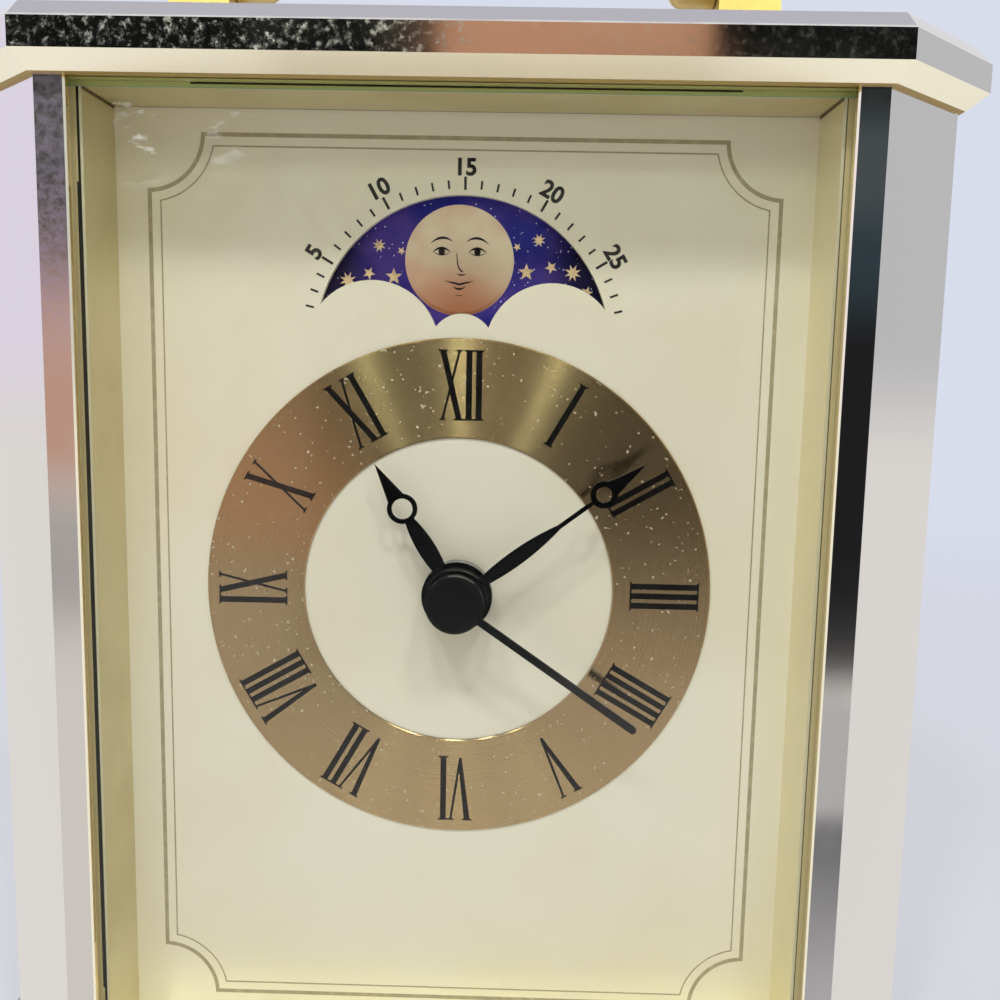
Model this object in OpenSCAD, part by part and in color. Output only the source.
// Moon phase desk clock: an octagonal polished case on two bevelled plates, a glazed
// dial box, a quartz movement with motion work and a moon disc, and a bail handle.
// Millimetres, +Z up, front towards -Y, origin on the table under the middle of the case.

/* [Case] */
// Width of the body across its side faces
body_w = 108.6; // [90:0.2:150]
// Depth of the body from front face to rear face
body_d = 58; // [52:0.5:90]
// Height of the body between the two plates
body_h = 110.6; // [104:0.2:160]
// Size of the 45 degree cut at each upright corner
corner_cut = 11; // [9:0.5:14]
// Width of the narrow upright face beside the window
pillar_face = 3.2; // [2.6:0.1:6]
// How far the plates stand out past the body
plate_overhang = 2.9; // [2:0.1:5]
// Height of the plain band round a plate
plate_band = 3; // [2:0.1:6]
// Inward reach of the bevel on the outer rim of a plate
plate_rim_bevel = 1.5; // [0.5:0.1:2.5]
// Height of the bevel on the outer rim of a plate
plate_rim_bevel_h = 1.8; // [0.5:0.1:3]
// Height of the bevel between band and body
plate_seat_bevel_h = 1.7; // [0.8:0.1:3]
// Inward reach of the bevel between band and body
plate_seat_bevel_w = 2.2; // [0.8:0.1:2.6]
// Thickness of the soft foot pads
foot_h = 1.6; // [1:0.1:4]
// Diameter of the foot pads
foot_d = 12; // [8:0.5:16]

/* [Window and dial] */
// Depth of the pillar lip that keeps the glass in
pillar_lip = 1; // [0.8:0.1:2]
// Thickness of the front glass
glass_t = 1.9; // [1.5:0.1:3]
// Depth of the dial box from the glass to the dial
box_depth = 9; // [8.6:0.2:14]
// Thickness of the dial box walls
box_wall = 0.6; // [0.5:0.1:1.2]
// Thickness of the dial plate
dial_t = 1; // [0.6:0.1:2]
// Length of the foam strip along the top of the glass
top_strip_len = 57; // [20:1:70]
// Length of the foam strip along the left of the glass
side_strip_len = 91; // [20:1:96]
// Outer diameter of the chapter ring
ring_d = 59.4; // [52:0.2:70]
// Width of the chapter ring band
ring_band = 11.5; // [8:0.1:14]
// Thickness of the chapter ring
ring_t = 0.3; // [0.2:0.1:0.8]

/* [Moon work] */
// Height of the moon arbor above the hand arbor
moon_rise = 28.75; // [28:0.25:30]
// Radius of the upper arc of the moon window
window_r = 16.9; // [16:0.1:17.2]
// Radius of the two humps that hide the moon
hump_r = 7.7; // [7:0.1:8]
// Distance of each hump from the middle line
hump_x = 10.3; // [10:0.1:10.6]
// Drop of the hump centres below the moon arbor
hump_drop = 0.4; // [0:0.1:1]
// Radius of the small cover over the moon arbor
hub_cover_r = 3.7; // [3.2:0.1:4]
// Pitch radius of the toothed moon disc
moon_pitch_r = 18.8; // [18.6:0.1:19.2]
// Teeth on the moon disc, one for each day of two moons
moon_teeth = 59; // [59]
// Teeth on the pinion that sets the moon
moon_pinion_teeth = 8; // [7:1:10]

/* [Hands] */
// Length of the hour hand
hour_len = 18; // [14:0.5:20]
// Length of the minute hand
minute_len = 26.5; // [22:0.5:29]
// Length of the seconds hand
second_len = 25.3; // [20:0.5:29]
// Thickness of the hand blades
hand_t = 0.3; // [0.2:0.05:0.5]
// Angle of the hour hand, clockwise from the top
hour_angle = -32.2; // [-180:0.1:180]
// Angle of the minute hand, clockwise from the top
minute_angle = 52.6; // [-180:0.1:180]
// Angle of the seconds hand, clockwise from the top
second_angle = 124.7; // [-180:0.1:180]

/* [Movement] */
// Side of the square movement case
case_side = 56; // [56:0.5:62]
// Depth of the movement case
case_depth = 14.6; // [14.4:0.2:18]
// Wall of the movement case
case_wall = 1.4; // [1:0.1:2]
// Thickness of the plate that carries movement and moon work
carrier_t = 1.2; // [1:0.1:2]
// Module of the motion work wheels
motion_module = 0.36; // [0.34:0.01:0.38]
// Module of the going train wheels
train_module = 0.2; // [0.19:0.01:0.21]
// Module of the rotor pinion and the wheel it steps
step_module = 0.15; // [0.14:0.01:0.16]
// Radius of the coil's winding
coil_r = 2.8; // [2.2:0.1:2.8]
// Length of the coil's winding
coil_len = 13; // [10:0.5:14]
// Diameter of the battery
battery_d = 14.2; // [13.5:0.1:14.5]
// Length of the battery body
battery_len = 49.2; // [48:0.1:50.5]
// Diameter of the time setting knob
time_knob_d = 12; // [9:0.5:14]
// Diameter of the moon setting knob
moon_knob_d = 9; // [7:0.5:11]

/* [Handle] */
// Distance between the centres of the handle posts
post_span = 67.4; // [60:0.1:80]
// Width of a handle post, across the clock
post_w = 7.5; // [6:0.1:11]
// Depth of a handle post
post_d = 8; // [6:0.1:11]
// Height of the bail pivot above the top plate
pivot_rise = 13.6; // [8:0.1:20]
// Width of the bail bar
bail_w = 5.6; // [5.4:0.1:8]
// Depth of the bail bar
bail_d = 6; // [4:0.1:8]
// Rise of the grip's middle line above the pivot
bail_rise = 24; // [20:0.5:40]
// Radius of the bend on the bail's middle line
bail_bend = 10; // [6:0.5:14]

/* [Rear door] */
// Thickness of the rear door
door_t = 2.6; // [2:0.1:4]
// Gap round the rear door
door_gap = 0.3; // [0.2:0.05:0.6]
// Radius of the door pins
door_pin_r = 1; // [0.8:0.1:1.2]

/* [Fits] */
// Radial play of a turning shaft in its hole
running_fit = 0.06; // [0.03:0.01:0.1]
// Play of a piece that is slid or dropped into place
slip_fit = 0.1; // [0.05:0.05:0.3]

/* [Hidden] */
$fn = 64;
eps = 0.01;

// Colours
silver = [0.78, 0.78, 0.8];
gold = [0.8, 0.69, 0.42];
olive_gold = [0.66, 0.6, 0.42];
cream = [0.87, 0.85, 0.76];
bronze = [0.6, 0.5, 0.38];
black = [0.08, 0.08, 0.09];
brass = [0.8, 0.65, 0.32];
night_blue = [0.18, 0.16, 0.45];
steel = [0.66, 0.66, 0.68];
copper = [0.72, 0.42, 0.25];
board_green = [0.12, 0.3, 0.2];

// Plates and heights
plate_t = plate_rim_bevel_h + plate_band + plate_seat_bevel_h;
body_z0 = foot_h + plate_t;
body_z1 = body_z0 + body_h;
top_z = body_z1 + plate_t;
hand_z = body_z0 + body_h / 2;
moon_z = hand_z + moon_rise;
half_w = body_w / 2;
half_d = body_d / 2;

// Window and dial box, along Y
window_half = half_w - corner_cut - pillar_face;
glass_y = -half_d + pillar_lip;
box_y = glass_y + glass_t + slip_fit;
dial_y = box_y + box_depth;
dial_back_y = dial_y + dial_t;
box_half_w = window_half - 0.7;
box_half_h = body_h / 2 - box_wall - slip_fit;
box_flange = 1.4;
rear_flange = 2.6;
rear_flange_t = 0.8;
strip_d = 0.4;
slot_depth = 2.2;
slot_end_y = box_y + 2;

// Pillar section
web = 5.5;
pillar_side = 4;
panel_t = 1.6;
panel_inset = 0.6;
panel_slot = 2.4;
rod_r = 1.5;
rod_bore_r = 1.7;
rod_head_r = 2.8;
rod_head_h = 2.2;
rod_x = half_w - corner_cut / 2 - web / 2 / sqrt(2);
rod_y = half_d - corner_cut / 2 - web / 2 / sqrt(2);

// Hands stack, measured forwards from the dial
hour_hub_r = 4.1;
minute_hub_r = 3.6;
cap_r = 3.3;
hour_back = 1.3;
hour_face = 3;
minute_back = 3.5;
minute_face = 5.3;
cap_back = 5.8;
cap_face = 7.6;
second_blade = 6.4;
hour_pipe_r = 2.2;
minute_pipe_r = 1.3;
second_arbor_r = 0.5;

// Moon work, along Y
moon_disc_t = 0.5;
moon_disc_y = dial_back_y + 0.4;
moon_disc_back = moon_disc_y + moon_disc_t;
day_wheel_y = moon_disc_back + 0.2;
day_wheel_t = 0.6;
carrier_y = day_wheel_y + day_wheel_t + 0.2;
carrier_back = carrier_y + carrier_t;
moon_module = 2 * moon_pitch_r / moon_teeth;
moon_arbor_r = 1.2;
moon_pinion_dir = 225;
moon_pinion_distance = moon_pitch_r + moon_module * moon_pinion_teeth / 2;
moon_pinion_x = moon_pinion_distance * cos(moon_pinion_dir);
moon_pinion_z = moon_rise + moon_pinion_distance * sin(moon_pinion_dir);
moon_pinion_phase = mesh_phase(0, moon_teeth, moon_pinion_dir, moon_pinion_teeth);

// Day wheel: one turn in twenty-four hours, with the finger that steps the moon disc
day_module = 0.35;
day_pinion_teeth = 18;
day_teeth = 36;
day_dir = 129.4;
day_distance = day_module * (day_pinion_teeth + day_teeth) / 2;
day_x = day_distance * cos(day_dir);
day_z = day_distance * sin(day_dir);
day_finger_reach = norm([day_x, moon_rise - day_z]) - moon_pitch_r + 0.4;
day_finger_dir = 250;

// Motion work, along Y and in tooth counts
cannon_teeth = 12;
minute_teeth = 36;
minute_pinion_teeth = 10;
hour_teeth = 40;
time_pinion_teeth = 12;
motion_distance = motion_module * (cannon_teeth + minute_teeth) / 2;
hour_module = 2 * motion_distance / (minute_pinion_teeth + hour_teeth);
hour_wheel_y = carrier_back + 0.4;
wheel_t = 0.7;
minute_wheel_y = hour_wheel_y + wheel_t + 0.5;
minute_wheel_x = motion_distance;
time_x = 2 * motion_distance;
minute_phase = mesh_phase(0, cannon_teeth, 0, minute_teeth);
hour_phase = mesh_phase(0, minute_pinion_teeth, 180, hour_teeth);
time_phase = mesh_phase(minute_phase, minute_teeth, 0, time_pinion_teeth);
day_phase = mesh_phase(0, day_pinion_teeth, day_dir, day_teeth);
post_r = 0.75;
time_arbor_r = 1.2;

// Going train, in tooth counts: rotor, step wheel, seconds wheel, third and centre wheel
rotor_teeth = 8;
step_teeth = 48;
step_pinion_teeth = 8;
seconds_teeth = 40;
seconds_pinion_teeth = 8;
third_teeth = 60;
third_pinion_teeth = 8;
centre_teeth = 64;

// Going train, along Y from the motion work back
train_t = 0.5;
centre_wheel_y = minute_wheel_y + wheel_t + 0.3;
third_wheel_y = centre_wheel_y + train_t + 0.8;
seconds_wheel_y = third_wheel_y + train_t + 0.7;
step_wheel_y = seconds_wheel_y + train_t + 0.9;
magnet_y = step_wheel_y + train_t + 1;
magnet_t = 1.6;
stator_y = magnet_y + 0.3;
stator_t = 1;
core_t = 1;

// Going train seen from the front, measured from the hands' arbor
third_dir = 150;
third_distance = train_module * (seconds_pinion_teeth + third_teeth) / 2;
third_x = third_distance * cos(third_dir);
third_z = third_distance * sin(third_dir);
centre_module = 2 * third_distance / (third_pinion_teeth + centre_teeth);
step_dir = 30;
step_distance = train_module * (seconds_teeth + step_pinion_teeth) / 2;
step_x = step_distance * cos(step_dir);
step_z = step_distance * sin(step_dir);
rotor_dir = 75;
rotor_distance = step_module * (rotor_teeth + step_teeth) / 2;
rotor_x = step_x + rotor_distance * cos(rotor_dir);
rotor_z = step_z + rotor_distance * sin(rotor_dir);
third_phase = mesh_phase(0, seconds_pinion_teeth, third_dir, third_teeth);
centre_phase = mesh_phase(0, third_pinion_teeth, third_dir + 180, centre_teeth);
step_pinion_phase = mesh_phase(0, seconds_teeth, step_dir, step_pinion_teeth);
rotor_phase = mesh_phase(0, step_teeth, rotor_dir, rotor_teeth);
train_pin_r = 0.35;
rotor_pin_r = 0.25;
magnet_r = 1.8;

// Bosses and pins of the train bridge
train_gap = 0.2;
third_boss_r = 1.1;
step_boss_r = 0.7;
rotor_boss_r = 0.6;
stator_boss_r = 1.1;
stator_pin_r = 0.5;
stator_pin_x = 6;
stator_pin_z = 2.6;

// Coil above the rotor
coil_rise = 9;
coil_flange_t = 0.8;
coil_flange_r = coil_r + 0.2;
core_h = 3;
core_half = coil_len / 2 + coil_flange_t + 3.7;
core_y = stator_y + stator_t;

// Movement case and battery
case_y1 = carrier_back + case_depth;
bridge_t = 0.8;
bridge_back = case_y1 - case_wall - slip_fit;
bridge_y = bridge_back - bridge_t;
bridge_peg_r = 0.9;
bridge_pegs = [[-11, 8], [13, -5]];
board_t = 0.8;
board_y = seconds_wheel_y + 0.3;
board_z0 = case_side / 2 - 7.8;
board_x0 = -12;
board_x1 = 18;
board_h = 5.8;
board_peg_x = 13;
board_peg_inset = 3;
board_peg_r = 0.5;
board_boss_r = 1.1;
case_half = case_side / 2;
bay_z0 = -case_half + 1.1;
bay_z1 = bay_z0 + battery_d + 1.1;
bay_half_w = case_half - 1.1;
battery_y = carrier_back + battery_d / 2 + 0.3;
battery_z = (bay_z0 + bay_z1) / 2;
contact_t = 0.3;
knob_gap = 0.4;
knob_h = 5;
clip_screw_x = case_half - 3.4;
clip_screw_z = case_half - 3.4;

// Carrier outline and the dial feet that hold it
carrier_half_w = case_half + 5;
carrier_z0 = -case_half - 1.5;
carrier_z1 = moon_rise + 14.5;
stud_r = 1;
stud_x = case_half + 2.3;
stud_low = -24;
stud_high = moon_rise + 10;
nut_r = 2;
nut_t = 1.5;

// Rear door
door_half_w = window_half - door_gap;
door_y1 = half_d - 0.4;
door_y0 = door_y1 - door_t;
hinge_x = -door_half_w + door_t / 2;
hinge_y = door_y1 - door_t / 2;
door_pin_in = 4;
door_pin_out = 2.4;
knob_x = door_half_w - 7;

// Handle
post_x = post_span / 2;
post_h = pivot_rise + post_d / 2;
pivot_z = top_z + pivot_rise;
bail_gap = 0.15;
bail_x = post_x - post_w / 2 - bail_gap - bail_w / 2;
knuckle_r = 4.1;
pivot_r = 1.5;
pivot_reach = 4.6;

// Angle of a wheel's first tooth that puts a gap opposite a tooth of the wheel it meets
function mesh_phase(phase_a, teeth_a, dir, teeth_b) =
  dir + 180 - (phase_a - dir) * teeth_a / teeth_b + 180 / teeth_b;

// Solid of an outline drawn as seen from the front, from one Y to another
module along_y(y0, y1) {
  translate([0, y1, 0]) rotate([90, 0, 0]) linear_extrude(y1 - y0) children();
}

// Round bar along Y
module rod_y(r, y0, y1) {
  translate([0, y1, 0]) rotate([90, 0, 0]) cylinder(h = y1 - y0, r = r);
}

// Children copied to both sides of the middle plane
module both_sides() {
  children();
  mirror([1, 0, 0]) children();
}

// Children copied to the four upright corners
module four_corners() {
  both_sides() children();
  mirror([0, 1, 0]) both_sides() children();
}

// Toothed outline with straight-flanked, round-shouldered teeth
module gear_2d(teeth, mod, phase) {
  r = teeth * mod / 2;
  pitch = 360 / teeth;
  root = r - 1.15 * mod;
  tip = r + 0.85 * mod;
  polygon([for (i = [0:teeth - 1]) for (p = [
    [root, -0.3], [r, -0.21], [tip, -0.1], [tip, 0.1], [r, 0.21], [root, 0.3]
  ]) p[0] * [cos(phase + (i + p[1]) * pitch), sin(phase + (i + p[1]) * pitch)]]);
}

// Section across a plate: rim bevel at the free side, wider bevel at the body side
module plate_profile(half) {
  seat = half - plate_seat_bevel_w;
  rim = half - plate_rim_bevel;
  polygon([
    [-seat, 0], [seat, 0], [half, plate_seat_bevel_h],
    [half, plate_seat_bevel_h + plate_band], [rim, plate_t],
    [-rim, plate_t], [-half, plate_seat_bevel_h + plate_band],
    [-half, plate_seat_bevel_h]
  ]);
}

// One long bar with the plate's section, turned to lie across a direction
module plate_bar(half, turn) {
  reach = body_w + body_d;
  rotate([0, 0, turn]) translate([0, reach / 2, 0]) rotate([90, 0, 0])
    linear_extrude(reach) plate_profile(half);
}

// Octagonal plate with every edge bevelled, its body side at z = 0
module plate_blank() {
  diagonal = (half_w + half_d - corner_cut) / sqrt(2) + plate_overhang;
  intersection() {
    plate_bar(half_w + plate_overhang, 0);
    plate_bar(half_d + plate_overhang, 90);
    plate_bar(diagonal, 45);
    plate_bar(diagonal, -45);
  }
}

// Hinge holes for the door, shared by both plates
module door_pin_hole(z) {
  translate([hinge_x, hinge_y, z])
    cylinder(h = door_pin_out + 0.3 + eps, r = door_pin_r + running_fit);
}

module top_plate() {
  color(silver) translate([0, 0, body_z1]) difference() {
    plate_blank();
    four_corners() translate([rod_x, rod_y, -eps]) cylinder(h = 4, r = rod_r);
    translate([0, 0, -eps]) door_pin_hole(0);
    both_sides() translate([post_x, 0, -eps]) cylinder(h = plate_t + 1, r = 1.6);
    both_sides() translate([post_x, 0, -eps]) cylinder(h = 2.4, r = 3);
  }
}

module base_plate() {
  color(silver) translate([0, 0, body_z0]) mirror([0, 0, 1]) difference() {
    plate_blank();
    four_corners() translate([rod_x, rod_y, -eps]) cylinder(h = plate_t + 1, r = rod_bore_r);
    four_corners() translate([rod_x, rod_y, plate_t - rod_head_h - 0.3])
      cylinder(h = rod_head_h + 1, r = rod_head_r + 0.3);
    translate([0, 0, -eps]) door_pin_hole(0);
  }
}

// Plan of the front right pillar: narrow face, 45 degree face, side face and glass slot
module pillar_plan() {
  lip_bevel = 0.2;
  face_x = half_w - corner_cut;
  web_shift = web * sqrt(2);
  inner_x = window_half + 1.2;
  slot_x = window_half + slot_depth;
  side_y = -half_d + corner_cut;
  back_y = side_y + pillar_side;
  heel_y = slot_end_y + 2.4;
  line = half_w + half_d - corner_cut - web_shift;
  panel_x = half_w - panel_inset;
  polygon([
    [window_half, -half_d + lip_bevel], [window_half + lip_bevel, -half_d],
    [face_x, -half_d], [half_w, side_y], [half_w, back_y],
    [panel_x, back_y], [panel_x, back_y - panel_slot],
    [panel_x - panel_t - slip_fit, back_y - panel_slot],
    [panel_x - panel_t - slip_fit, back_y],
    [line + back_y, back_y], [line + heel_y, heel_y],
    [inner_x, heel_y], [inner_x, slot_end_y], [slot_x, slot_end_y],
    [slot_x, glass_y], [window_half, glass_y]
  ]);
}

module pillar() {
  color(silver) translate([0, 0, body_z0]) difference() {
    linear_extrude(body_h) pillar_plan();
    translate([rod_x, -rod_y, -eps]) cylinder(h = body_h + 1, r = rod_bore_r);
  }
}

module pillar_front_right() { pillar(); }
module pillar_front_left() { mirror([1, 0, 0]) pillar(); }
module pillar_rear_right() { mirror([0, 1, 0]) pillar(); }
module pillar_rear_left() { mirror([0, 1, 0]) mirror([1, 0, 0]) pillar(); }

// Polished panel held in the slots of a front and a rear pillar
module side_panel() {
  slot_floor = half_d - corner_cut - pillar_side + panel_slot;
  length = 2 * (slot_floor - slip_fit);
  color(silver)
    translate([half_w - panel_inset - panel_t, -length / 2, body_z0])
      cube([panel_t, length, body_h]);
}

module side_panel_right() { side_panel(); }
module side_panel_left() { mirror([1, 0, 0]) side_panel(); }

// Long screws that pull both plates against the pillars
module tie_rods() {
  foot = foot_h + 0.3;
  color(brass) four_corners() translate([rod_x, rod_y, foot]) {
    difference() {
      cylinder(h = rod_head_h, r = rod_head_r);
      translate([-0.4, -rod_head_r, -eps]) cube([0.8, 2 * rod_head_r, 0.9]);
    }
    cylinder(h = body_z1 + 3.6 - foot, r = rod_r);
  }
}

module feet() {
  color("dimgray") four_corners()
    translate([half_w - corner_cut - 7.3, half_d - corner_cut, 0])
      rotate_extrude() polygon([
        [0, 0], [foot_d / 2 - 0.4, 0], [foot_d / 2, 0.4], [foot_d / 2, foot_h], [0, foot_h]
      ]);
}

module front_glass() {
  half = window_half + slot_depth - slip_fit - 0.2;
  color([0.8, 0.9, 0.85, 0.4])
    translate([-half, glass_y + slip_fit / 2, body_z0 + slip_fit])
      cube([2 * half, glass_t, body_h - 2 * slip_fit]);
}

// Thin bright box between glass and dial, with a front lip in the pillar slots
module dial_surround() {
  outer_w = box_half_w + box_wall;
  outer_h = box_half_h + box_wall;
  front_half = window_half + slot_depth - slip_fit;
  color(olive_gold) translate([0, 0, hand_z]) difference() {
    union() {
      along_y(box_y, dial_y) square([2 * outer_w, 2 * outer_h], center = true);
      along_y(box_y, box_y + box_flange)
        square([2 * front_half, 2 * outer_h], center = true);
      along_y(dial_y - rear_flange_t, dial_y)
        square([2 * (outer_w + rear_flange), 2 * outer_h], center = true);
    }
    along_y(box_y - 1, dial_y + 1) square([2 * box_half_w, 2 * box_half_h], center = true);
    along_y(box_y - 1, box_y + strip_d) foam_2d();
    dial_screw_places() rod_y(0.6, dial_y - rear_flange_t - 1, dial_y + 1);
  }
}

module dial_screw_places() {
  for (sx = [-1, 1]) for (sz = [-1, 1])
    translate([sx * (box_half_w + box_wall + rear_flange / 2), 0, sz * body_h * 0.36])
      children();
}

// Moon window: an arc above, two humps and the small arbor cover below
module moon_window_2d() {
  difference() {
    intersection() {
      circle(window_r);
      translate([-window_r, 0]) square([2 * window_r, window_r]);
    }
    for (side = [-1, 1]) translate([side * hump_x, -hump_drop]) circle(hump_r);
    circle(hub_cover_r);
  }
}

module dial_plate() {
  half = box_half_w + box_wall + rear_flange;
  color(cream) translate([0, 0, hand_z]) {
    difference() {
      along_y(dial_y, dial_back_y)
        square([2 * half, 2 * (box_half_h + box_wall)], center = true);
      translate([0, 0, moon_rise]) along_y(dial_y - 1, dial_back_y + 1) moon_window_2d();
      rod_y(hour_pipe_r + 0.5, dial_y - 1, dial_back_y + 1);
      dial_screw_places() rod_y(0.8, dial_y - 1, dial_back_y + 1);
    }
    stud_places() rod_y(stud_r, dial_back_y - eps, carrier_back + nut_t + 0.8);
  }
}

module stud_places() {
  for (sx = [-1, 1]) for (z = [stud_low, stud_high]) translate([sx * stud_x, 0, z]) children();
}

module dial_screws() {
  color(brass) translate([0, 0, hand_z]) dial_screw_places() {
    rod_y(0.6, dial_y - rear_flange_t - 0.6, dial_back_y);
    rod_y(1.2, dial_back_y, dial_back_y + 0.9);
  }
}

module chapter_ring() {
  r = ring_d / 2;
  color(bronze) translate([0, dial_y, hand_z]) rotate([90, 0, 0])
    rotate_extrude($fn = 160) polygon([
      [r - ring_band, 0], [r, 0], [r, ring_t * 0.6], [r - 0.15, ring_t],
      [r - ring_band + 0.15, ring_t], [r - ring_band, ring_t * 0.6]
    ]);
}

// Moulded plate that carries the movement, the moon arbor and the day wheel
module movement_carrier() {
  cut = 6;
  w = carrier_half_w;
  color([0.2, 0.2, 0.21]) translate([0, 0, hand_z]) difference() {
    union() {
      along_y(carrier_y, carrier_back) polygon([
        [-w, carrier_z0], [w, carrier_z0], [w, carrier_z1 - cut], [w - cut, carrier_z1],
        [-w + cut, carrier_z1], [-w, carrier_z1 - cut]
      ]);
      stud_places() rod_y(stud_r + 1.2, dial_back_y, carrier_y + eps);
      translate([0, 0, moon_rise]) rod_y(1, moon_disc_y, carrier_y + eps);
      translate([day_x, 0, day_z]) rod_y(post_r, moon_disc_y, carrier_y + eps);
      translate([minute_wheel_x, 0, 0])
        rod_y(post_r, carrier_back - eps, minute_wheel_y + wheel_t + 0.8);
      for (side = [-1, 1]) translate([side * clip_screw_x, 0, clip_screw_z])
        rod_y(1.9, carrier_back - eps, case_y1 - case_wall - slip_fit);
      board_peg_places() rod_y(board_boss_r, carrier_back - eps, board_y);
      board_peg_places() rod_y(board_peg_r, board_y - eps, board_y + board_t);
    }
    stud_places() rod_y(stud_r + slip_fit, dial_back_y - 1, carrier_back + 1);
    rod_y(hour_pipe_r + running_fit, carrier_y - 1, carrier_back + 1);
    translate([moon_pinion_x, 0, moon_pinion_z])
      rod_y(moon_arbor_r + running_fit, carrier_y - 1, carrier_back + 1);
    translate([time_x, 0, 0]) rod_y(0.6 + running_fit, carrier_y + 0.3, carrier_back + 1);
    for (side = [-1, 1]) translate([side * clip_screw_x, 0, clip_screw_z])
      rod_y(0.7, carrier_back + 2, case_y1);
  }
}

module carrier_nuts() {
  color(brass) translate([0, 0, hand_z]) stud_places() difference() {
    translate([0, carrier_back + nut_t, 0]) rotate([90, 0, 0])
      cylinder(h = nut_t, r = nut_r, $fn = 6);
    rod_y(stud_r, carrier_back - 1, carrier_back + nut_t + 1);
  }
}

// Moulded rear housing with a closed gear room above and an open battery bay below
module movement_case() {
  room_half = case_half - case_wall;
  room_z0 = bay_z1 + case_wall;
  room_h = case_half - case_wall - room_z0;
  bay_h = bay_z1 - bay_z0;
  thumb_r = 8;
  color(black) translate([0, 0, hand_z]) difference() {
    along_y(carrier_back, case_y1) difference() {
      square(case_side, center = true);
      for (sx = [-1, 1]) for (sz = [-1, 1])
        translate([sx * case_half, sz * case_half]) rotate(45) square(3, center = true);
    }
    along_y(carrier_back - 1, case_y1 - case_wall)
      translate([-room_half, room_z0]) square([2 * room_half, room_h]);
    along_y(carrier_back - 1, case_y1 + 1)
      translate([-bay_half_w, bay_z0]) square([2 * bay_half_w, bay_h]);
    translate([time_x, 0, 0]) rod_y(time_arbor_r + running_fit, case_y1 - 3, case_y1 + 1);
    translate([moon_pinion_x, 0, moon_pinion_z])
      rod_y(moon_arbor_r + running_fit, case_y1 - 3, case_y1 + 1);
    rod_y(second_arbor_r + running_fit, case_y1 - 3, case_y1 - 0.5);
    bridge_peg_places() rod_y(bridge_peg_r, case_y1 - 3, case_y1 - 0.4);
    for (side = [-1, 1]) translate([side * clip_screw_x, 0, clip_screw_z])
      rod_y(0.9, case_y1 - 3, case_y1 + 1);
    translate([0, 0, -case_half]) rod_y(thumb_r, case_y1 - 5, case_y1 + 1);
  }
}

module case_screws() {
  color(brass) translate([0, 0, hand_z])
    for (side = [-1, 1]) translate([side * clip_screw_x, 0, clip_screw_z]) difference() {
      union() {
        rod_y(0.7, carrier_back + 4, case_y1);
        rod_y(1.7, case_y1, case_y1 + 1.1);
      }
      translate([-1.7, case_y1 + 0.6, -0.25]) cube([3.4, 1, 0.5]);
    }
}

// Round cell lying across the movement
module battery() {
  color("goldenrod") translate([-battery_len / 2, battery_y, hand_z + battery_z])
    rotate([0, 90, 0]) rotate_extrude() polygon([
      [0, 0], [battery_d / 2 - 0.5, 0], [battery_d / 2, 0.5],
      [battery_d / 2, battery_len - 0.8], [battery_d / 2 - 0.8, battery_len],
      [2.75, battery_len], [2.75, battery_len + 1], [0, battery_len + 1]
    ]);
}

// Spring strips at the two ends of the battery bay
module battery_contacts() {
  half = bay_half_w - 0.05;
  plus = battery_len / 2 + 1.1;
  minus = battery_len / 2 + 0.1;
  color("lightgray") translate([0, battery_y, hand_z + battery_z]) {
    contact_strip(half, plus);
    mirror([1, 0, 0]) contact_strip(half, minus);
  }
}

module contact_strip(outer, inner) {
  translate([outer - contact_t, -4, -5]) cube([contact_t, 9, 10]);
  translate([inner, 0, 0]) rotate([0, 90, 0])
    cylinder(h = outer - contact_t - inner + eps, r = 2.4);
}

// Lens outline between two points on the hand's middle line
module leaf_2d(from, to, width) {
  half = (to - from) / 2;
  r = (half * half + width * width / 4) / width;
  translate([0, (from + to) / 2]) intersection() {
    translate([r - width / 2, 0]) circle(r, $fn = 180);
    translate([-r + width / 2, 0]) circle(r, $fn = 180);
  }
}

// Hand with a leaf, an open ring and a pointed tip, pointing up
module ring_hand_2d(len, ring_at, ring_r, hole_r, leaf_end, leaf_w, neck_w, tip_w) {
  tip_at = ring_at + ring_r * 0.6;
  difference() {
    union() {
      leaf_2d(1, leaf_end, leaf_w);
      translate([-neck_w / 2, 0]) square([neck_w, ring_at - ring_r * 0.6]);
      translate([0, ring_at]) circle(ring_r);
      polygon([[-tip_w / 2, tip_at], [tip_w / 2, tip_at], [0, len]]);
    }
    translate([0, ring_at]) circle(hole_r);
  }
}

// Blade and hub of a hand, given its distances in front of the dial
module hand(back, face, hub_r, bore_r, angle) {
  rotate([0, angle, 0]) difference() {
    union() {
      along_y(dial_y - face, dial_y - face + hand_t) children();
      rod_y(hub_r, dial_y - face, dial_y - back);
    }
    rod_y(bore_r, dial_y - face - 1, dial_y - back + 1);
  }
}

module hour_hand() {
  color(black) translate([0, 0, hand_z])
    hand(hour_back, hour_face, hour_hub_r, hour_pipe_r, hour_angle)
      ring_hand_2d(hour_len, hour_len * 0.667, 1.75, 1.2, hour_len * 0.675, 2.1, 0.9, 2.2);
}

// Hour wheel with its long pipe and the small pinion for the day wheel
module hour_wheel() {
  color("ivory") translate([0, 0, hand_z]) difference() {
    union() {
      rod_y(hour_pipe_r, dial_y - hour_face, hour_wheel_y + wheel_t);
      along_y(hour_wheel_y, hour_wheel_y + wheel_t) gear_2d(hour_teeth, hour_module, hour_phase);
      along_y(day_wheel_y, day_wheel_y + day_wheel_t) gear_2d(day_pinion_teeth, day_module, 0);
    }
    rod_y(minute_pipe_r + running_fit, dial_y - hour_face - 1, hour_wheel_y + wheel_t + 1);
  }
}

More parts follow.
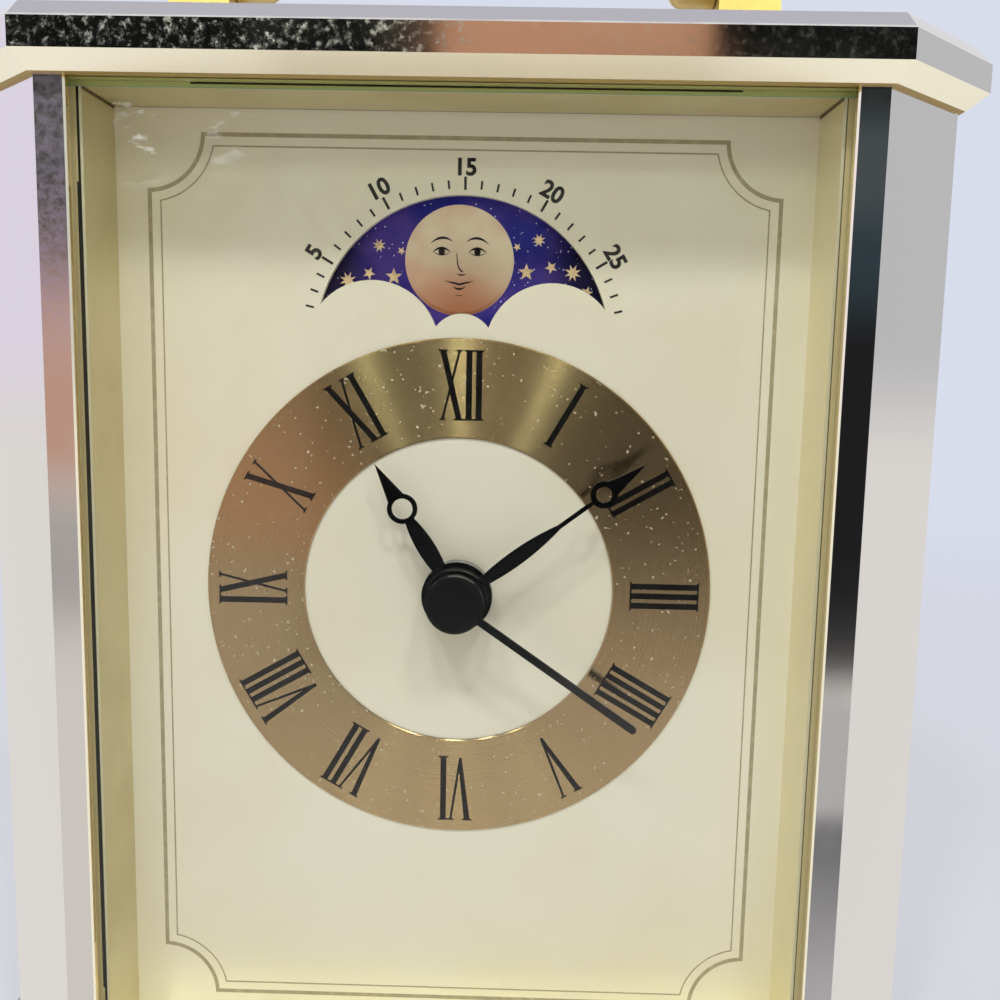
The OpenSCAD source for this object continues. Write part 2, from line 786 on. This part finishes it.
module minute_hand() {
  color(black) translate([0, 0, hand_z])
    hand(minute_back, minute_face, minute_hub_r, minute_pipe_r, minute_angle)
      ring_hand_2d(minute_len, minute_len * 0.782, 1.55, 0.9, minute_len * 0.59, 1.75, 0.5, 1.9);
}

module cannon_pinion() {
  color("ivory") translate([0, 0, hand_z]) difference() {
    union() {
      rod_y(minute_pipe_r, dial_y - minute_face, centre_wheel_y + train_t + 0.2);
      along_y(minute_wheel_y - 0.1, minute_wheel_y + wheel_t + 0.1)
        gear_2d(cannon_teeth, motion_module, 0);
    }
    rod_y(second_arbor_r + running_fit, dial_y - minute_face - 1, centre_wheel_y + train_t + 1);
  }
}

module minute_wheel() {
  color("ivory") translate([minute_wheel_x, 0, hand_z]) difference() {
    union() {
      along_y(minute_wheel_y, minute_wheel_y + wheel_t)
        gear_2d(minute_teeth, motion_module, minute_phase);
      along_y(hour_wheel_y - 0.1, minute_wheel_y + eps)
        gear_2d(minute_pinion_teeth, hour_module, 0);
    }
    rod_y(post_r + running_fit, hour_wheel_y - 1, minute_wheel_y + wheel_t + 1);
  }
}

// Seconds hand: a straight baton with a short tail under a round cap
module second_hand() {
  blade_w = 0.9;
  color(black) translate([0, 0, hand_z]) rotate([0, second_angle, 0]) difference() {
    union() {
      along_y(dial_y - second_blade - hand_t, dial_y - second_blade) union() {
        translate([-blade_w / 2, 0]) square([blade_w, second_len - blade_w / 2]);
        translate([0, second_len - blade_w / 2]) circle(blade_w / 2);
      }
      translate([0, dial_y - cap_back, 0]) rotate([90, 0, 0]) rotate_extrude() polygon([
        [0, 0], [cap_r, 0], [cap_r, cap_face - cap_back - 0.3],
        [cap_r - 0.3, cap_face - cap_back], [0, cap_face - cap_back]
      ]);
    }
    rod_y(second_arbor_r, dial_y - cap_face + 0.5, dial_y);
  }
}

module second_arbor() {
  color("silver") translate([0, 0, hand_z])
    rod_y(second_arbor_r, dial_y - cap_face + 0.5, case_y1 - 0.6);
}

module day_wheel() {
  finger_w = 0.5;
  color("ivory") translate([day_x, 0, hand_z + day_z]) difference() {
    union() {
      along_y(day_wheel_y, day_wheel_y + day_wheel_t) gear_2d(day_teeth, day_module, day_phase);
      rod_y(1.6, moon_disc_y, day_wheel_y + eps);
      along_y(moon_disc_y, moon_disc_back) rotate(day_finger_dir)
        translate([0, -finger_w / 2]) square([day_finger_reach, finger_w]);
    }
    rod_y(post_r + running_fit, moon_disc_y - 1, day_wheel_y + day_wheel_t + 1);
  }
}

// Toothed disc with two raised moons half a turn apart
module moon_disc() {
  moon_r = 5.95;
  moon_orbit = 9.75;
  moon_relief = 0.1;
  moon_turn = 2.8;
  color(night_blue) translate([0, 0, moon_z]) difference() {
    union() {
      along_y(moon_disc_y, moon_disc_back) gear_2d(moon_teeth, moon_module, 0);
      for (half_turn = [0, 180]) rotate([0, half_turn - moon_turn, 0])
        translate([0, 0, moon_orbit])
          rod_y(moon_r, moon_disc_y - moon_relief, moon_disc_y + eps);
    }
    rod_y(1 + running_fit, moon_disc_y - 1, moon_disc_back + 1);
  }
}

// Pinion in mesh with the moon disc, on a long arbor that reaches the rear knob
module moon_setting_arbor() {
  color("ivory") translate([moon_pinion_x, 0, hand_z + moon_pinion_z]) {
    along_y(moon_disc_y, moon_disc_back)
      gear_2d(moon_pinion_teeth, moon_module, moon_pinion_phase);
    rod_y(moon_arbor_r, moon_disc_back - eps, case_y1 + knob_gap + knob_h - 1);
  }
}

module time_setting_arbor() {
  color("ivory") translate([time_x, 0, hand_z]) {
    along_y(minute_wheel_y - 0.1, minute_wheel_y + wheel_t + 0.1)
      gear_2d(time_pinion_teeth, motion_module, time_phase);
    rod_y(0.6, carrier_y + 0.4, minute_wheel_y);
    rod_y(time_arbor_r, minute_wheel_y, case_y1 + knob_gap + knob_h - 1);
  }
}

// Round knob with grip flutes and a slightly domed end
module setting_knob(d, flutes) {
  r = d / 2;
  flute_r = 0.45;
  difference() {
    translate([0, case_y1 + knob_gap, 0]) rotate([-90, 0, 0]) rotate_extrude() polygon([
      [0, 0], [r, 0], [r, knob_h - 0.8], [r - 0.8, knob_h], [0, knob_h]
    ]);
    for (i = [0:flutes - 1]) rotate([0, i * 360 / flutes, 0]) translate([r + 0.1, 0, 0])
      rod_y(flute_r, case_y1 + knob_gap + 0.6, case_y1 + knob_gap + knob_h + 1);
    rod_y(moon_arbor_r, case_y1 - 1, case_y1 + knob_gap + knob_h - 1);
  }
}

module moon_setting_knob() {
  color(black) translate([moon_pinion_x, 0, hand_z + moon_pinion_z])
    setting_knob(moon_knob_d, 18);
}

module time_setting_knob() {
  color(black) translate([time_x, 0, hand_z]) setting_knob(time_knob_d, 24);
}

// Door that closes the back between the rear pillars, rounded at its hinge edge
module rear_door() {
  h = body_h - 2 * door_gap;
  bevel = 0.8;
  z0 = body_z0 + door_gap;
  color(silver) difference() {
    translate([0, 0, z0]) linear_extrude(h) union() {
      translate([hinge_x, hinge_y]) circle(door_t / 2);
      polygon([
        [hinge_x, door_y0], [door_half_w, door_y0], [door_half_w, door_y1 - bevel],
        [door_half_w - bevel, door_y1], [hinge_x, door_y1]
      ]);
    }
    for (z = [z0 - eps, z0 + h - door_pin_in])
      translate([hinge_x, hinge_y, z]) cylinder(h = door_pin_in + eps, r = door_pin_r);
    translate([knob_x, 0, hand_z]) rod_y(1, door_y0 - 1, door_y1 + 1);
  }
}

module door_pins() {
  reach = door_pin_out + door_gap + door_pin_in;
  color(brass) for (z = [body_z0 - door_pin_out, body_z1 + door_pin_out - reach])
    translate([hinge_x, hinge_y, z]) cylinder(h = reach, r = door_pin_r);
}

// Small turned knob with its shank through the door
module door_knob() {
  color(brass) translate([knob_x, door_y1, hand_z]) rotate([-90, 0, 0])
    rotate_extrude() polygon([
      [0, -door_t], [1, -door_t], [1, 0], [1.9, 0], [1.4, 0.8], [1.6, 1.2],
      [3.1, 1.6], [3.4, 2.1], [2.6, 2.7], [0, 3]
    ]);
}

module door_keeper() {
  color("gray") translate([door_half_w - 5, door_y0 - 0.8, hand_z - 5]) cube([4, 0.8, 10]);
}

// Magnet block fixed to the rear pillar behind its lip
module door_magnet() {
  w = 5.6;
  color("dimgray")
    translate([window_half + 1.2 - w, -slot_end_y - 4, hand_z - 4]) cube([w, 2.4, 8]);
}

// Square posts with round shoulders that carry the handle
module handle_posts() {
  color(brass) both_sides() translate([post_x - post_w / 2, 0, top_z]) difference() {
    union() {
      translate([0, -post_d / 2, 0]) cube([post_w, post_d, pivot_rise]);
      translate([0, 0, pivot_rise]) rotate([0, 90, 0]) cylinder(h = post_w, r = post_d / 2);
    }
    translate([-1, 0, pivot_rise]) rotate([0, 90, 0]) cylinder(h = post_w + 2, r = pivot_r);
    translate([post_w / 2, 0, -eps]) cylinder(h = 7, r = 1.5);
  }
}

module post_screws() {
  color("silver") both_sides() translate([post_x, 0, body_z1 + 0.3]) {
    cylinder(h = 2, r = 2.7);
    cylinder(h = plate_t + 6, r = 1.5);
  }
}

// Rounded bar section of the bail
module bail_section() {
  corner = 1.6;
  x = bail_w / 2;
  y = bail_d / 2;
  union() {
    square([bail_w - 2 * corner, bail_d], center = true);
    square([bail_w, bail_d - 2 * corner], center = true);
    for (sx = [-1, 1]) for (sy = [-1, 1])
      translate([sx * (x - corner), sy * (y - corner)]) circle(corner);
  }
}

// Swinging handle: two knuckles, two arms, two bends and a straight grip
module handle_bail() {
  arm_h = bail_rise - bail_bend;
  grip_half = bail_x - bail_bend;
  fillet = 2;
  color(brass) translate([0, 0, pivot_z]) union() {
    both_sides() difference() {
      union() {
        translate([bail_x + bail_w / 2, 0, 0]) rotate([0, -90, 0]) rotate_extrude() polygon(
          concat([[0, 0], [knuckle_r, 0]],
          [for (a = [0:15:90]) [
            knuckle_r - fillet + fillet * cos(a), bail_w - fillet + fillet * sin(a)
          ]], [[0, bail_w]]));
        translate([bail_x, 0, 0]) linear_extrude(arm_h) bail_section();
        translate([grip_half, 0, arm_h]) rotate([90, 0, 0])
          rotate_extrude(angle = 90, $fn = 72) translate([bail_bend, 0]) bail_section();
      }
      translate([bail_x + bail_w / 2 - pivot_reach - 0.2, 0, 0]) rotate([0, 90, 0])
        cylinder(h = bail_w, r = pivot_r + running_fit);
    }
    translate([-grip_half, 0, bail_rise]) rotate([0, 90, 0])
      linear_extrude(2 * grip_half) rotate(90) rotate(90) bail_section();
  }
}

// Shoulder screws through the posts into the bail's knuckles
module pivot_screws() {
  outer = post_x + post_w / 2;
  inner = bail_x + bail_w / 2 - pivot_reach;
  color(brass) both_sides() translate([0, 0, pivot_z]) difference() {
    union() {
      translate([inner, 0, 0]) rotate([0, 90, 0]) cylinder(h = outer - inner, r = pivot_r);
      translate([outer, 0, 0]) rotate([0, 90, 0]) rotate_extrude() polygon([
        [0, 0], [2.8, 0], [2.8, 0.5], [2.2, 1.1], [0, 1.3]
      ]);
    }
    translate([outer + 0.7, -0.3, -3]) cube([1, 0.6, 6]);
  }
}

// Outline of the two foam strips, above and to the left of the dial box
module foam_2d() {
  top_x0 = -28;
  top_w = 0.2;
  side_z1 = 45;
  side_w = 0.45;
  side_gap = 0.3;
  translate([top_x0, box_half_h + box_wall - top_w]) square([top_strip_len, top_w]);
  translate([-box_half_w - side_gap - side_w, side_z1 - side_strip_len])
    square([side_w, side_strip_len]);
}

// Foam strips let into the front edge of the dial box, against the glass
module glass_strips() {
  color([0.3, 0.28, 0.2]) translate([0, 0, hand_z]) along_y(box_y, box_y + strip_d) foam_2d();
}

// Wheel on the cannon pinion's pipe, driven by the third wheel's pinion
module centre_wheel() {
  color(brass) translate([0, 0, hand_z]) difference() {
    along_y(centre_wheel_y, centre_wheel_y + train_t)
      gear_2d(centre_teeth, centre_module, centre_phase);
    rod_y(minute_pipe_r + running_fit, centre_wheel_y - 1, centre_wheel_y + train_t + 1);
  }
}

module third_wheel() {
  color("ivory") translate([third_x, 0, hand_z + third_z]) difference() {
    union() {
      along_y(third_wheel_y, third_wheel_y + train_t) gear_2d(third_teeth, train_module, third_phase);
      along_y(centre_wheel_y - 0.1, third_wheel_y + eps) gear_2d(third_pinion_teeth, centre_module, 0);
    }
    rod_y(train_pin_r + running_fit, centre_wheel_y - 1, third_wheel_y + train_t + 1);
  }
}

// Wheel and pinion fixed on the seconds arbor
module seconds_wheel() {
  color("ivory") translate([0, 0, hand_z]) difference() {
    union() {
      along_y(third_wheel_y - 0.2, seconds_wheel_y + eps)
        gear_2d(seconds_pinion_teeth, train_module, 0);
      along_y(seconds_wheel_y, seconds_wheel_y + train_t) gear_2d(seconds_teeth, train_module, 0);
    }
    rod_y(second_arbor_r, third_wheel_y - 1, seconds_wheel_y + train_t + 1);
  }
}

module step_wheel() {
  color("ivory") translate([step_x, 0, hand_z + step_z]) difference() {
    union() {
      along_y(step_wheel_y, step_wheel_y + train_t) gear_2d(step_teeth, step_module, 0);
      along_y(seconds_wheel_y - 0.2, step_wheel_y + eps)
        gear_2d(step_pinion_teeth, train_module, step_pinion_phase);
    }
    rod_y(train_pin_r + running_fit, seconds_wheel_y - 1, step_wheel_y + train_t + 1);
  }
}

// Two-pole magnet with its moulded pinion
module rotor() {
  color(steel) translate([rotor_x, 0, hand_z + rotor_z]) difference() {
    union() {
      rod_y(magnet_r, magnet_y, magnet_y + magnet_t);
      along_y(step_wheel_y - 0.2, magnet_y + eps) gear_2d(rotor_teeth, step_module, rotor_phase);
    }
    rod_y(rotor_pin_r + running_fit, step_wheel_y - 1, magnet_y + magnet_t + 1);
  }
}

module stator_pin_places() {
  for (side = [-1, 1]) translate([side * stator_pin_x, 0, stator_pin_z]) children();
}

// Plate round the rotor, notched to rest the poles, with feet under the coil core's ends
module stator() {
  hole_r = magnet_r + 0.3;
  notch_r = 0.4;
  foot_w = 3.2;
  foot_x = core_half - foot_w;
  foot_z = coil_rise + core_h / 2;
  pole_half_w = 3.6;
  pole_z = -2.8;
  saddle_half_w = 2.6;
  saddle_z = 3;
  elbow_outer_z = 6.8;
  elbow_inner_z = 5.6;
  // Right half of the outline, from the pole's lower corner up round the arm to the saddle
  half = [
    [pole_half_w, pole_z], [core_half, elbow_outer_z], [core_half, foot_z],
    [foot_x, foot_z], [foot_x, elbow_inner_z], [saddle_half_w, saddle_z]
  ];
  other_half = [for (i = [len(half) - 1:-1:0]) [-half[i][0], half[i][1]]];
  color(steel) translate([rotor_x, 0, hand_z + rotor_z]) difference() {
    along_y(stator_y, stator_y + stator_t) polygon(concat(half, other_half));
    rod_y(hole_r, stator_y - 1, stator_y + stator_t + 1);
    stator_pin_places()
      rod_y(stator_pin_r + slip_fit / 2, stator_y - 1, stator_y + stator_t + 1);
    for (turn = [45, 225]) rotate([0, turn, 0]) translate([hole_r, 0, 0])
      rod_y(notch_r, stator_y - 1, stator_y + stator_t + 1);
  }
}

// Winding between the two flanges of its bobbin
module coil() {
  flange_x = coil_len / 2 + coil_flange_t;
  color(copper) translate([rotor_x, core_y + core_t / 2, hand_z + rotor_z + coil_rise]) difference() {
    translate([-flange_x, 0, 0]) rotate([0, 90, 0]) rotate_extrude() polygon([
      [0, 0], [coil_flange_r, 0], [coil_flange_r, coil_flange_t], [coil_r, coil_flange_t],
      [coil_r, coil_flange_t + coil_len], [coil_flange_r, coil_flange_t + coil_len],
      [coil_flange_r, 2 * flange_x], [0, 2 * flange_x]
    ]);
    cube([3 * flange_x, core_t, core_h], center = true);
  }
}

module coil_core() {
  color(steel) translate([rotor_x - core_half, core_y, hand_z + rotor_z + coil_rise - core_h / 2])
    cube([2 * core_half, core_t, core_h]);
}

module board_peg_places() {
  for (x = [board_x0 + board_peg_inset, board_peg_x])
    translate([x, 0, board_z0 + board_peg_inset]) children();
}

// Printed board with its sealed chip, on two pegs of the carrier
module circuit_board() {
  chip_x = -3;
  chip_r = 2.4;
  chip_h = 0.9;
  color(board_green) translate([0, 0, hand_z]) difference() {
    union() {
      along_y(board_y, board_y + board_t)
        translate([board_x0, board_z0]) square([board_x1 - board_x0, board_h]);
      translate([chip_x, board_y + board_t - eps, board_z0 + board_h / 2]) rotate([-90, 0, 0])
        rotate_extrude() polygon(concat([[0, 0]],
          [for (a = [0:15:90]) [chip_r * cos(a), chip_h * sin(a)]]));
    }
    board_peg_places() rod_y(board_peg_r + slip_fit / 2, board_y - 1, board_y + board_t + 1);
  }
}

// Round can of the quartz, lying on the board
module quartz_crystal() {
  can_x = 2.5;
  can_r = 1;
  can_len = 6;
  color(steel) translate([can_x, board_y + board_t + can_r, hand_z + board_z0 + board_h / 2])
    rotate([0, 90, 0]) rotate_extrude() polygon([
      [0, 0], [can_r, 0], [can_r, 0.4], [can_r - 0.12, 0.5], [can_r - 0.12, can_len - 0.3],
      [can_r - 0.42, can_len], [0, can_len]
    ]);
}

module bridge_peg_places() {
  for (p = bridge_pegs) translate([p[0], 0, p[1]]) children();
}

// Boss and pin that one train wheel turns on, standing forwards from the bridge
module train_post(boss_r, boss_y, pin_r, pin_y) {
  rod_y(boss_r, boss_y, bridge_y + eps);
  rod_y(pin_r, pin_y, boss_y + eps);
}

// Plate at the back of the gear room that carries the third wheel, step wheel and rotor
module train_bridge() {
  left = -14;
  right = 21;
  low = -8;
  high = 10.5;
  left_cut = [8, 2];
  right_cut = [9, 6.5];
  color("ivory") translate([0, 0, hand_z]) difference() {
    union() {
      along_y(bridge_y, bridge_back) polygon([
        [left, low + left_cut[1]], [left + left_cut[0], low], [right, low],
        [right, high - right_cut[1]], [right - right_cut[0], high], [left, high]
      ]);
      translate([third_x, 0, third_z]) train_post(
        third_boss_r, third_wheel_y + train_t + train_gap, train_pin_r, centre_wheel_y + 0.1);
      translate([step_x, 0, step_z]) train_post(
        step_boss_r, step_wheel_y + train_t + train_gap, train_pin_r, seconds_wheel_y);
      translate([rotor_x, 0, rotor_z]) train_post(
        rotor_boss_r, magnet_y + magnet_t + train_gap, rotor_pin_r, step_wheel_y);
      translate([rotor_x, 0, rotor_z]) stator_pin_places()
        train_post(stator_boss_r, stator_y + stator_t, stator_pin_r, stator_y - train_gap);
      bridge_peg_places() rod_y(bridge_peg_r - slip_fit / 2, bridge_back - eps, case_y1 - 0.5);
    }
    rod_y(second_arbor_r + running_fit, bridge_y - 1, bridge_back + 1);
    translate([time_x, 0, 0]) rod_y(time_arbor_r + 0.3, bridge_y - 1, bridge_back + 1);
  }
}

top_plate();
base_plate();
pillar_front_left();
pillar_front_right();
pillar_rear_left();
pillar_rear_right();
side_panel_left();
side_panel_right();
tie_rods();
feet();
front_glass();
dial_surround();
dial_plate();
chapter_ring();
dial_screws();
movement_carrier();
carrier_nuts();
movement_case();
case_screws();
battery();
battery_contacts();
hour_hand();
hour_wheel();
minute_hand();
cannon_pinion();
minute_wheel();
second_hand();
second_arbor();
day_wheel();
moon_disc();
moon_setting_arbor();
moon_setting_knob();
time_setting_arbor();
time_setting_knob();
rear_door();
door_pins();
door_knob();
door_keeper();
door_magnet();
handle_posts();
post_screws();
handle_bail();
pivot_screws();
glass_strips();
centre_wheel();
third_wheel();
seconds_wheel();
step_wheel();
rotor();
stator();
coil();
coil_core();
circuit_board();
quartz_crystal();
train_bridge();
